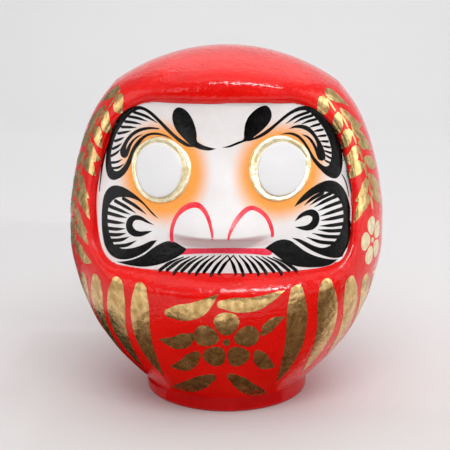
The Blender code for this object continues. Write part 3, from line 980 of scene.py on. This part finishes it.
def side_lines():
    """Thin lines along the border of the white, beside the brows."""
    widths = [0.5, 1.0, 1.0, 0.8, 0.4]
    return [
        brush([(-75.6, 180), (-77.7, 172.5), (-79.3, 165), (-80.2, 157), (-80.8, 150)], widths),
        brush([(76.6, 179.5), (78.6, 172.5), (80.6, 165), (82.2, 158), (83.4, 151)], widths),
        brush([(77, 162.6), (79.2, 158.6), (80.8, 153.6), (81.8, 148.5)], [0.4, 0.7, 0.6, 0.3]),
    ]


def make_face():
    make_ground()
    make_eyes()
    black = {
        "brow_left": left_brow(), "brow_right": right_brow(), "cheek_left": left_cheek(),
        "cheek_right": right_cheek(), "brow_ovals": brow_ovals(), "moustache": moustache(),
        "side_lines": side_lines(),
    }
    for name, strokes in black.items():
        lay_paint(name, on_face, strokes, BLACK, STROKE_TOP, STROKE_BOTTOM)
    nostrils = [
        brush([
            (-30.6, 124.6), (-30.8, 130), (-29.8, 136), (-27, 141.8), (-22, 146.4), (-17, 148.6),
            (-13, 148.6), (-9.6, 146.2), (-6.8, 142), (-5, 137), (-4, 132), (-4.7, 127.6),
        ], [2.1, 2.4, 2.3, 2.9, 3.0, 2.4, 1.8, 0.8]),
        brush([
            (5.7, 127.8), (6.3, 133), (8.7, 138.3), (12, 142.9), (16, 146.2), (20, 147), (25, 144.7),
            (29, 141), (31.5, 136.5), (32.9, 131.5), (32.9, 129.4),
        ], [0.6, 1.9, 2.8, 2.9, 2.2, 2.2, 2.3, 1.8]),
    ]
    lay_paint(
        "nostril_lines", on_face, nostrils, PINK, STROKE_TOP, STROKE_BOTTOM, spacing=1.0
    )
    mouth = shape([(-20.6, 121.6), (-10, 122), (4, 122.5), (18, 122.3)], [
        (28.7, 121.8), (31.2, 120.6), (33, 119), (32, 117.8), (29.5, 117.6), (20, 118.7), (8, 119.1),
        (-4, 119.1), (-15, 118.5),
    ], [(-24.7, 117.4)])
    lay_paint("mouth", on_face, [mouth], LIP, STROKE_TOP, STROKE_BOTTOM)


# ---------------- gold on the body

GOLD_TOP, GOLD_BOTTOM = 0.2, -0.15
LEAVES_TOP, LEAVES_STEP = 211.0, 10.8


def petal(top, bottom, width, bow):
    """A long brushed petal down the belly, widest above its middle, pointed below."""
    top, bottom = np.array(top, float), np.array(bottom, float)
    middle = top + 0.5 * (bottom - top) + (bow, 0)
    widths = [share * width for share in (0.6, 0.92, 1, 1, 0.9, 0.62)]
    return brush([top, middle, bottom], widths + [0.3])


def belly_petals():
    plan = [
        # top, bottom, width, sideways bow
        ((-49, 96.5), (-56, 27), 14.5, -3), ((-67, 96.5), (-80, 28), 17, -5),
        ((-88, 95), (-103, 34), 15.5, -5), ((-108, 92), (-127, 40), 14, -6), ((-128, 89), (-150, 46), 13, -6),
        ((48, 96.5), (55, 24), 15, 2), ((69, 97), (82, 27), 17.5, 4), ((91, 95.5), (107, 34), 16, 5),
        ((111, 93), (130, 40), 14, 5), ((132, 90), (152, 46), 13, 5),
    ]
    return [petal(*entry) for entry in plan]


def leaf(root, tip, width, bend):
    """A brushed leaf, rounded at its root and pointed at its tip."""
    widths = [0.55 * width, width, 0.95 * width, 0.6 * width, 0.3]
    return brush(bent(root, tip, bend), widths)


def blossom(centre, radius, turn):
    """Five round petals about a centre, each apart from the next, and a dot in the middle."""
    around = np.linspace(0, 2 * math.pi, 10, endpoint=False)
    found = [loop(*(centre + 0.12 * radius * np.stack([np.cos(around), np.sin(around)], axis=-1)))]
    for k in range(5):
        angle = turn + 2 * math.pi * k / 5
        ahead = np.array([math.cos(angle), math.sin(angle)])
        beside = np.array([-ahead[1], ahead[0]])
        out, wide = 0.62 + 0.38 * np.cos(around), 0.355 * np.sin(around) * (1 + 0.25 * np.cos(around))
        found.append(loop(*(centre + radius * (out[:, None] * ahead + wide[:, None] * beside))))
    return found


def belly_spray():
    """A flower spray: one large blossom, with leaves above, beside and below it."""
    return blossom((5, 63.5), 22, 0.31) + [
        leaf((-31, 83), (0, 97.5), 11.5, -0.12), leaf((2, 91), (40, 98.5), 10, -0.10),
        leaf((-18, 67), (-42, 62), 10.5, 0.14), leaf((-16, 53), (-41, 39), 10.5, 0.12),
        leaf((29, 70), (42, 81), 8, 0.10), leaf((27, 54), (44, 40), 10.5, -0.12),
        leaf((-7, 33), (-59, 15), 12.5, 0.06), leaf((9, 34), (56, 11), 12.5, -0.08),
    ]


def side_spray(side, line, lowest):
    """Rows of broad leaves on both sides of a broken stem, down the flat band beside the face."""
    strokes = []
    for k, z in enumerate(np.arange(LEAVES_TOP, lowest, -LEAVES_STEP)):
        at = np.array([through(line, z), z])
        inward, outward = 22 + 2 * math.sin(2.3 * k), 26 + 2.5 * math.sin(1.7 * k + 1)
        fall = 10 + 3 * math.sin(1.3 * k)
        strokes.append(brush([at + (0.5, -1), at + (1, -7)], [3.4, 2.4]))
        strokes.append(leaf(at - (3, 0), at - (inward, fall), 8.6, 0.12 * math.sin(2.9 * k)))
        strokes.append(leaf(at + (4, 2), at + (outward, 3 - fall), 8.8, 0.12 * math.sin(1.9 * k + 2)))
    return [stroke * (side, 1) for stroke in strokes]


def lay_gold(name, outlines, material=GOLD, spacing=2.0):
    lay_paint(name, on_body, outlines, material, GOLD_TOP, GOLD_BOTTOM, spacing=spacing)


def make_gold():
    lay_gold("belly_petals", belly_petals(), spacing=2.2)
    lay_gold("belly_flowers", belly_spray())
    left_line = [(100, 113), (150, 118), (190, 115), (215, 105)]
    right_line = [(120, 116), (150, 116), (190, 110), (215, 97)]
    for name, side, line, lowest in (("left", -1, left_line, 108), ("right", 1, right_line, 140)):
        lay_gold(f"{name}_leaves", side_spray(side, line, lowest))
    lay_gold("right_blossom", blossom((116, 118), 16, 0.5), PALE_GOLD)


# ---------------- inside and under


def dress_hidden_nodes():
    """The pieces that keep their CAD shape get their own stuff."""
    stuffs = {
        "seam_strip_left": PAPER, "seam_strip_right": PAPER, "seam_strip_crown": PAPER,
        "clay_weight": CLAY, "base_disc": BOARD, "hole_seal": PAPER,
    }
    for name, material in stuffs.items():
        for material_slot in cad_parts[name].material_slots:
            material_slot.material = material


# ---------------- stage

LYING = 0.002
CARDS = [
    # name, colour, profile, left, right
    # a warm brown sheet on the floor in front, seen only in reflections: painted shade with painted red
    # bounce light in what the belly reflects
    ("near_shade_card", (0.10, 0.05, 0.022), [(-0.04, LYING), (-0.19, LYING)], -0.12, 0.35),
    # a black sheet by the foot, seen only in reflections: painted shadow of the doll round its foot
    ("foot_shadow_card", (0.003, 0.003, 0.003), [(0.10, LYING), (-0.04, LYING)], -0.16, -0.06),
    ("side_card", (0.10, 0.10, 0.10), [(0.12, LYING), (0.44, LYING)], -0.6, -0.10),
    ("left_card", (0.22, 0.22, 0.22), [(0.45, 0.02), (0.45, 0.9)], -1.2, -0.26),
    ("pale_card", (0.85, 0.85, 0.85), [(-0.19, LYING), (-0.50, LYING)], -1.1, 0.45),
    (
        "front_card", (0.003, 0.003, 0.003),
        [(-0.50, LYING), (-1.1, LYING), (-1.3, 0.2), (-1.3, 0.58)], -1.1, 0.45,
    ),
]


def make_sheet(name, profile, left, right, material):
    """A sheet of the stage, with its profile given as (y, z). The stage is built in metres."""
    points = [(x, y, z) for x in (left, right) for y, z in profile]
    count = len(profile)
    faces = [(k, k + count, k + count + 1, k + 1) for k in range(count - 1)]
    sheet = new_object(name, points, faces, material)
    return sheet


def make_card(name, color, profile, left, right):
    """A card near the doll that only reflections see, as a photographer sets one up."""
    m = start_material(name)
    darker, lighter = (tuple(share * part for part in color) for share in (0.9, 1.1))
    tone = mix(m, noise(m, 40), darker, lighter)
    finish_material(m, tone, 1.0, specular=0.0)
    card = make_sheet(name, profile, left, right, m)
    card.visible_camera = False
    card.visible_diffuse = False
    card.visible_shadow = False


def make_stage():
    """A pale floor that curves up into a backdrop."""
    m = start_material("studio_paper")
    # the paper is painted darker towards the front: painted shade where less light reaches the floor
    away = node(m, "SeparateXYZ", [("Vector", place_of(m))]).outputs["Y"]
    away = node(m, "MapRange", [("Value", away), ("From Min", -200), ("From Max", 900)]).outputs["Result"]
    color = mix(m, away, (0.64, 0.625, 0.625), (0.86, 0.85, 0.85))
    color = mix(m, calculate(m, "MULTIPLY", noise(m, 300, 2, 0.5), 0.1), color, (0.60, 0.60, 0.60))
    finish_material(m, color, 0.6, specular=0.2)
    front, wall, radius, top, half = -1.6, 1.7, 0.7, 2.4, 2.6
    profile = [(front, 0.0), (wall - radius, 0.0)]
    profile += [
        (wall - radius + radius * math.sin(a), radius - radius * math.cos(a))
        for a in np.linspace(0, math.pi / 2, 17)[1:]
    ]
    profile.append((wall, top))
    make_sheet("sweep", profile, -half, half, m)
    for card in CARDS:
        make_card(*card)


LAMPS = [
    # name, place, what it points at, size, power, the kind of light it leaves out
    ("key", (0.15, -0.82, 1.18), (0, 0, 0.12), (0.9, 0.3), 7.4, "glossy"),
    ("glint", (0.30, -0.74, 1.09), (0, 0, 0.12), (0.66, 0.14), 16, "diffuse"),
    ("overhead", (0.0, 0.80, 1.45), (0, 0.65, 0.0), (1.8, 1.9), 9.5, None),
    ("front_overhead", (0.0, -0.42, 1.45), (0, -0.25, 0.1), (1.6, 0.5), 3.4, None),
    ("right_soft", (0.66, -0.98, 0.52), (0, 0, 0.14), (0.45, 0.4), 0.6, None),
    ("left_soft", (-0.60, -1.02, 0.50), (0, 0, 0.14), (0.45, 0.4), 1.2, None),
    ("left_fill", (-1.0, -0.25, 0.5), (0, 0, 0.12), (0.8, 0.7), 2.2, None),
    ("right_fill", (1.0, -0.05, 0.5), (0, 0, 0.12), (0.8, 0.9), 4.2, None),
    ("front_fill", (0.0, -1.6, 0.7), (0, 0, 0.12), (0.9, 0.6), 0.9, "glossy"),
]


def make_lights():
    for name, place, target, size, power, without in LAMPS:
        light = bpy.data.lights.new(name, "AREA")
        light.shape = "RECTANGLE"
        light.size, light.size_y = size
        light.energy = power
        lamp = bpy.data.objects.new(name, light)
        lamp.location = place
        lamp.rotation_euler = (Vector(target) - Vector(place)).to_track_quat("-Z", "Y").to_euler()
        lamp.visible_glossy = without != "glossy"
        lamp.visible_diffuse = without != "diffuse"
        bpy.context.scene.collection.objects.link(lamp)
    world = bpy.data.worlds.new("studio")
    bpy.context.scene.world = world
    world.use_nodes = True
    sky = world.node_tree.nodes["Background"].inputs
    sky["Color"].default_value = (0.92, 0.93, 0.95, 1)
    sky["Strength"].default_value = 0.38


def add_camera():
    """In front and a little to the right, above the doll and looking down at it."""
    distance, height = 0.850, 0.341
    pitch, turn = math.radians(14.85), math.radians(3.0)
    focal_pixels, image_width, side_shift = 1266.0, 450.0, -1.6
    camera = bpy.data.cameras.new("camera")
    camera.sensor_width = 36
    camera.lens = focal_pixels / image_width * camera.sensor_width
    camera.shift_x = side_shift / image_width
    stand = bpy.data.objects.new("camera", camera)
    stand.location = (distance * math.sin(turn), -distance * math.cos(turn), height)
    stand.rotation_euler = (math.pi / 2 - pitch, 0, turn)
    bpy.context.scene.collection.objects.link(stand)
    bpy.context.scene.camera = stand
    bpy.context.scene.view_settings.view_transform = "Standard"


add_camera()
make_lights()
make_stage()
make_shells()
make_foot()
make_face()
make_gold()
dress_hidden_nodes()
